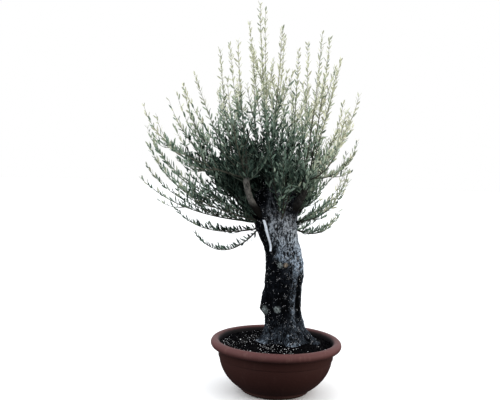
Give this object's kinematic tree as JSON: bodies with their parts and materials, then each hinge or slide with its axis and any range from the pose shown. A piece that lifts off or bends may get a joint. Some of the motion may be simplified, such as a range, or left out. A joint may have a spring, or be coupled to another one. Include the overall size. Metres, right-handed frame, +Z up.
{
  "type": "potted olive bonsai",
  "caption": "Potted olive bonsai: a stout old trunk with a root flare, short cut-back boughs and long leafy shoots, in a round bowl pot with a rolled rim.",
  "frame": {"origin": "middle of the pot's flat underside, at floor level", "axes": "+Z up, +X to the right of the pictured front, +Y away from it"},
  "size_m": [1.0398, 0.8612, 1.7736],
  "materials": {
    "pot": "satin",
    "soil": "loose grains",
    "bark": "rough old bark",
    "bough": "young bark",
    "leaf": "leathery grey green",
    "label": "plain"
  },
  "bodies": {
    "root": {"pot": "pot", "soil": "soil", "trunk": "bark", "bough_right": "bough", "bough_back_right": "bough", "bough_back_left": "bough", "bough_left": "bough", "bough_front_left": "bough", "bough_front_right": "bough", "bough_centre": "bough", "leaves_spire_right": "leaf", "leaves_upper_right": "leaf", "leaves_outer_right": "leaf", "leaves_spire_back_right": "leaf", "leaves_upper_back_right": "leaf", "leaves_outer_back_right": "leaf", "leaves_spire_back_left": "leaf", "leaves_upper_back_left": "leaf", "leaves_outer_back_left": "leaf", "leaves_spire_left": "leaf", "leaves_upper_left": "leaf", "leaves_outer_left": "leaf", "leaves_spire_front_left": "leaf", "leaves_upper_front_left": "leaf", "leaves_outer_front_left": "leaf", "leaves_spire_front_right": "leaf", "leaves_upper_front_right": "leaf", "leaves_outer_front_right": "leaf", "leaves_crest_top": "leaf", "leaves_crest_top_front": "leaf", "leaves_crest_top_back": "leaf", "leaves_low_right": "leaf", "leaves_low_back_right": "leaf", "leaves_low_back_left": "leaf", "leaves_low_left": "leaf", "leaves_middle_front_left": "leaf", "leaves_low_front_right": "leaf", "leaves_droop_right": "leaf", "leaves_droop_back": "leaf", "leaves_droop_left": "leaf", "leaves_hang_left": "leaf", "leaves_front_middle": "leaf", "label": "label"}
  },
  "joints": []
}
